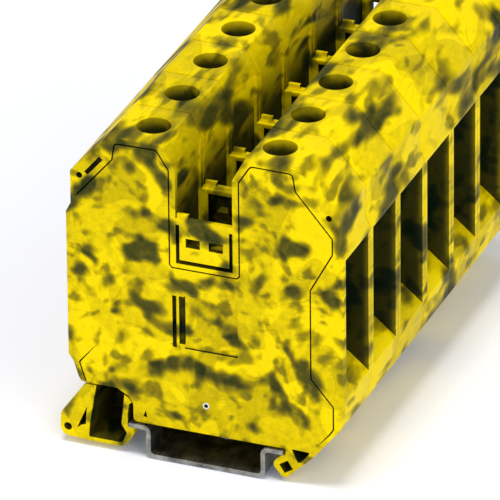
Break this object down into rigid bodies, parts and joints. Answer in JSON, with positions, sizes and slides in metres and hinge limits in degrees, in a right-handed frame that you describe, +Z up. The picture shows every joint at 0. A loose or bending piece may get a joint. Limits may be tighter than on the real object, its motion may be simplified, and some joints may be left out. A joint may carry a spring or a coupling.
{
  "type": "din rail terminal block",
  "caption": "Row of screw clamp terminal blocks clipped side by side on a top-hat mounting rail, with working clamp screws, cages and latch feet.",
  "frame": {"origin": "centre of the underside of the rail, half way along the row", "axes": "+Z up from the mounting panel, +Y along the rail from the first block to the last, +X towards the side with the fixed rail foot"},
  "size_m": [0.0646, 0.113, 0.0747],
  "materials": {
    "housing_plastic": "satin",
    "cover_plastic": "satin",
    "foot_plastic": "satin",
    "tinned_copper": "satin",
    "cage_steel": "satin",
    "screw_steel": "satin",
    "rail_steel": "satin"
  },
  "bodies": {
    "row": {"din_rail": "rail_steel", "housing_1": "housing_plastic", "side_cover_1": "cover_plastic", "current_bar_1": "tinned_copper", "housing_2": "housing_plastic", "side_cover_2": "cover_plastic", "current_bar_2": "tinned_copper", "housing_3": "housing_plastic", "side_cover_3": "cover_plastic", "current_bar_3": "tinned_copper", "housing_4": "housing_plastic", "side_cover_4": "cover_plastic", "current_bar_4": "tinned_copper", "housing_5": "housing_plastic", "side_cover_5": "cover_plastic", "current_bar_5": "tinned_copper", "housing_6": "housing_plastic", "side_cover_6": "cover_plastic", "current_bar_6": "tinned_copper", "housing_7": "housing_plastic", "side_cover_7": "cover_plastic", "current_bar_7": "tinned_copper"},
    "screw_left_1": {"clamp_screw_left_1": "screw_steel"},
    "cage_left_1": {"clamp_cage_left_1": "cage_steel"},
    "screw_right_1": {"clamp_screw_right_1": "screw_steel"},
    "cage_right_1": {"clamp_cage_right_1": "cage_steel"},
    "foot_1": {"rail_foot_1": "foot_plastic"},
    "screw_left_2": {"clamp_screw_left_2": "screw_steel"},
    "cage_left_2": {"clamp_cage_left_2": "cage_steel"},
    "screw_right_2": {"clamp_screw_right_2": "screw_steel"},
    "cage_right_2": {"clamp_cage_right_2": "cage_steel"},
    "foot_2": {"rail_foot_2": "foot_plastic"},
    "screw_left_3": {"clamp_screw_left_3": "screw_steel"},
    "cage_left_3": {"clamp_cage_left_3": "cage_steel"},
    "screw_right_3": {"clamp_screw_right_3": "screw_steel"},
    "cage_right_3": {"clamp_cage_right_3": "cage_steel"},
    "foot_3": {"rail_foot_3": "foot_plastic"},
    "screw_left_4": {"clamp_screw_left_4": "screw_steel"},
    "cage_left_4": {"clamp_cage_left_4": "cage_steel"},
    "screw_right_4": {"clamp_screw_right_4": "screw_steel"},
    "cage_right_4": {"clamp_cage_right_4": "cage_steel"},
    "foot_4": {"rail_foot_4": "foot_plastic"},
    "screw_left_5": {"clamp_screw_left_5": "screw_steel"},
    "cage_left_5": {"clamp_cage_left_5": "cage_steel"},
    "screw_right_5": {"clamp_screw_right_5": "screw_steel"},
    "cage_right_5": {"clamp_cage_right_5": "cage_steel"},
    "foot_5": {"rail_foot_5": "foot_plastic"},
    "screw_left_6": {"clamp_screw_left_6": "screw_steel"},
    "cage_left_6": {"clamp_cage_left_6": "cage_steel"},
    "screw_right_6": {"clamp_screw_right_6": "screw_steel"},
    "cage_right_6": {"clamp_cage_right_6": "cage_steel"},
    "foot_6": {"rail_foot_6": "foot_plastic"},
    "screw_left_7": {"clamp_screw_left_7": "screw_steel"},
    "cage_left_7": {"clamp_cage_left_7": "cage_steel"},
    "screw_right_7": {"clamp_screw_right_7": "screw_steel"},
    "cage_right_7": {"clamp_cage_right_7": "cage_steel"},
    "foot_7": {"rail_foot_7": "foot_plastic"}
  },
  "joints": [
    {"name": "screw_turn_left_1", "type": "hinge", "parent": "row", "child": "screw_left_1", "pos_m": [-0.0142, -0.048, 0.058], "axis": [0, 0, 1], "range_deg": [0, 4320]},
    {"name": "cage_lift_left_1", "type": "slide", "parent": "row", "child": "cage_left_1", "axis": [0, 0, 1], "range_m": [0, 0.0096]},
    {"name": "screw_turn_right_1", "type": "hinge", "parent": "row", "child": "screw_right_1", "pos_m": [0.0142, -0.048, 0.058], "axis": [0, 0, 1], "range_deg": [0, 4320]},
    {"name": "cage_lift_right_1", "type": "slide", "parent": "row", "child": "cage_right_1", "axis": [0, 0, 1], "range_m": [0, 0.0096]},
    {"name": "foot_latch_1", "type": "hinge", "parent": "row", "child": "foot_1", "pos_m": [-0.0259, -0.048, 0.0171], "axis": [0, 1, 0], "range_deg": [0, 8], "stiffness_Nm_per_rad": 0.6},
    {"name": "screw_turn_left_2", "type": "hinge", "parent": "row", "child": "screw_left_2", "pos_m": [-0.0142, -0.032, 0.058], "axis": [0, 0, 1], "range_deg": [0, 4320]},
    {"name": "cage_lift_left_2", "type": "slide", "parent": "row", "child": "cage_left_2", "axis": [0, 0, 1], "range_m": [0, 0.0096]},
    {"name": "screw_turn_right_2", "type": "hinge", "parent": "row", "child": "screw_right_2", "pos_m": [0.0142, -0.032, 0.058], "axis": [0, 0, 1], "range_deg": [0, 4320]},
    {"name": "cage_lift_right_2", "type": "slide", "parent": "row", "child": "cage_right_2", "axis": [0, 0, 1], "range_m": [0, 0.0096]},
    {"name": "foot_latch_2", "type": "hinge", "parent": "row", "child": "foot_2", "pos_m": [-0.0259, -0.032, 0.0171], "axis": [0, 1, 0], "range_deg": [0, 8], "stiffness_Nm_per_rad": 0.6},
    {"name": "screw_turn_left_3", "type": "hinge", "parent": "row", "child": "screw_left_3", "pos_m": [-0.0142, -0.016, 0.058], "axis": [0, 0, 1], "range_deg": [0, 4320]},
    {"name": "cage_lift_left_3", "type": "slide", "parent": "row", "child": "cage_left_3", "axis": [0, 0, 1], "range_m": [0, 0.0096]},
    {"name": "screw_turn_right_3", "type": "hinge", "parent": "row", "child": "screw_right_3", "pos_m": [0.0142, -0.016, 0.058], "axis": [0, 0, 1], "range_deg": [0, 4320]},
    {"name": "cage_lift_right_3", "type": "slide", "parent": "row", "child": "cage_right_3", "axis": [0, 0, 1], "range_m": [0, 0.0096]},
    {"name": "foot_latch_3", "type": "hinge", "parent": "row", "child": "foot_3", "pos_m": [-0.0259, -0.016, 0.0171], "axis": [0, 1, 0], "range_deg": [0, 8], "stiffness_Nm_per_rad": 0.6},
    {"name": "screw_turn_left_4", "type": "hinge", "parent": "row", "child": "screw_left_4", "pos_m": [-0.0142, 0, 0.058], "axis": [0, 0, 1], "range_deg": [0, 4320]},
    {"name": "cage_lift_left_4", "type": "slide", "parent": "row", "child": "cage_left_4", "axis": [0, 0, 1], "range_m": [0, 0.0096]},
    {"name": "screw_turn_right_4", "type": "hinge", "parent": "row", "child": "screw_right_4", "pos_m": [0.0142, 0, 0.058], "axis": [0, 0, 1], "range_deg": [0, 4320]},
    {"name": "cage_lift_right_4", "type": "slide", "parent": "row", "child": "cage_right_4", "axis": [0, 0, 1], "range_m": [0, 0.0096]},
    {"name": "foot_latch_4", "type": "hinge", "parent": "row", "child": "foot_4", "pos_m": [-0.0259, 0, 0.0171], "axis": [0, 1, 0], "range_deg": [0, 8], "stiffness_Nm_per_rad": 0.6},
    {"name": "screw_turn_left_5", "type": "hinge", "parent": "row", "child": "screw_left_5", "pos_m": [-0.0142, 0.016, 0.058], "axis": [0, 0, 1], "range_deg": [0, 4320]},
    {"name": "cage_lift_left_5", "type": "slide", "parent": "row", "child": "cage_left_5", "axis": [0, 0, 1], "range_m": [0, 0.0096]},
    {"name": "screw_turn_right_5", "type": "hinge", "parent": "row", "child": "screw_right_5", "pos_m": [0.0142, 0.016, 0.058], "axis": [0, 0, 1], "range_deg": [0, 4320]},
    {"name": "cage_lift_right_5", "type": "slide", "parent": "row", "child": "cage_right_5", "axis": [0, 0, 1], "range_m": [0, 0.0096]},
    {"name": "foot_latch_5", "type": "hinge", "parent": "row", "child": "foot_5", "pos_m": [-0.0259, 0.016, 0.0171], "axis": [0, 1, 0], "range_deg": [0, 8], "stiffness_Nm_per_rad": 0.6},
    {"name": "screw_turn_left_6", "type": "hinge", "parent": "row", "child": "screw_left_6", "pos_m": [-0.0142, 0.032, 0.058], "axis": [0, 0, 1], "range_deg": [0, 4320]},
    {"name": "cage_lift_left_6", "type": "slide", "parent": "row", "child": "cage_left_6", "axis": [0, 0, 1], "range_m": [0, 0.0096]},
    {"name": "screw_turn_right_6", "type": "hinge", "parent": "row", "child": "screw_right_6", "pos_m": [0.0142, 0.032, 0.058], "axis": [0, 0, 1], "range_deg": [0, 4320]},
    {"name": "cage_lift_right_6", "type": "slide", "parent": "row", "child": "cage_right_6", "axis": [0, 0, 1], "range_m": [0, 0.0096]},
    {"name": "foot_latch_6", "type": "hinge", "parent": "row", "child": "foot_6", "pos_m": [-0.0259, 0.032, 0.0171], "axis": [0, 1, 0], "range_deg": [0, 8], "stiffness_Nm_per_rad": 0.6},
    {"name": "screw_turn_left_7", "type": "hinge", "parent": "row", "child": "screw_left_7", "pos_m": [-0.0142, 0.048, 0.058], "axis": [0, 0, 1], "range_deg": [0, 4320]},
    {"name": "cage_lift_left_7", "type": "slide", "parent": "row", "child": "cage_left_7", "axis": [0, 0, 1], "range_m": [0, 0.0096]},
    {"name": "screw_turn_right_7", "type": "hinge", "parent": "row", "child": "screw_right_7", "pos_m": [0.0142, 0.048, 0.058], "axis": [0, 0, 1], "range_deg": [0, 4320]},
    {"name": "cage_lift_right_7", "type": "slide", "parent": "row", "child": "cage_right_7", "axis": [0, 0, 1], "range_m": [0, 0.0096]},
    {"name": "foot_latch_7", "type": "hinge", "parent": "row", "child": "foot_7", "pos_m": [-0.0259, 0.048, 0.0171], "axis": [0, 1, 0], "range_deg": [0, 8], "stiffness_Nm_per_rad": 0.6}
  ],
  "couplings": [
    {"joint": "screw_turn_left_1", "follows": "cage_lift_left_1", "rad_per_m": 7854},
    {"joint": "screw_turn_right_1", "follows": "cage_lift_right_1", "rad_per_m": 7854},
    {"joint": "screw_turn_left_2", "follows": "cage_lift_left_2", "rad_per_m": 7854},
    {"joint": "screw_turn_right_2", "follows": "cage_lift_right_2", "rad_per_m": 7854},
    {"joint": "screw_turn_left_3", "follows": "cage_lift_left_3", "rad_per_m": 7854},
    {"joint": "screw_turn_right_3", "follows": "cage_lift_right_3", "rad_per_m": 7854},
    {"joint": "screw_turn_left_4", "follows": "cage_lift_left_4", "rad_per_m": 7854},
    {"joint": "screw_turn_right_4", "follows": "cage_lift_right_4", "rad_per_m": 7854},
    {"joint": "screw_turn_left_5", "follows": "cage_lift_left_5", "rad_per_m": 7854},
    {"joint": "screw_turn_right_5", "follows": "cage_lift_right_5", "rad_per_m": 7854},
    {"joint": "screw_turn_left_6", "follows": "cage_lift_left_6", "rad_per_m": 7854},
    {"joint": "screw_turn_right_6", "follows": "cage_lift_right_6", "rad_per_m": 7854},
    {"joint": "screw_turn_left_7", "follows": "cage_lift_left_7", "rad_per_m": 7854},
    {"joint": "screw_turn_right_7", "follows": "cage_lift_right_7", "rad_per_m": 7854}
  ]
}
